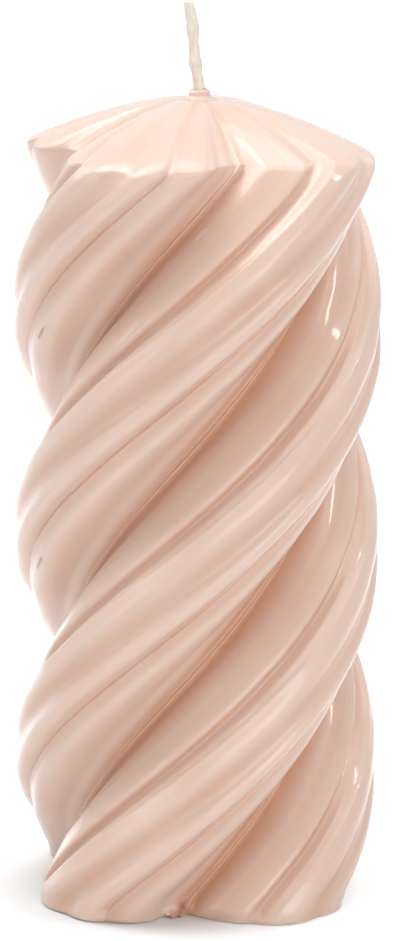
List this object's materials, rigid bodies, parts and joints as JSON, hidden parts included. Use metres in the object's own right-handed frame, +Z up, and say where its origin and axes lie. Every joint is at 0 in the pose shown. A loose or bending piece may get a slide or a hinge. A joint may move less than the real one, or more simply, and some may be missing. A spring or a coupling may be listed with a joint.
{
  "type": "twisted pillar candle",
  "caption": "Free-standing pillar candle with deep lobes and fine ridges winding up in a right-hand twist to a low fluted cap, with a leaning cotton wick.",
  "frame": {"origin": "centre of the flat base, on the candle's axis", "axes": "+Z up along the candle's axis, -Y towards the camera of the picture, +X to its right"},
  "size_m": [0.07, 0.07, 0.1719],
  "materials": {
    "tinted_wax": "moulded paraffin wax, glossy and slightly translucent, dusty peach pink",
    "waxed_cotton": "braided cotton, soaked in clear wax, cream",
    "tinplate": "stamped tin-plated steel sheet"
  },
  "bodies": {
    "root": {"wax_body": "tinted_wax", "wick": "waxed_cotton", "wick_tab": "tinplate", "wax_bead": "tinted_wax"}
  },
  "joints": []
}
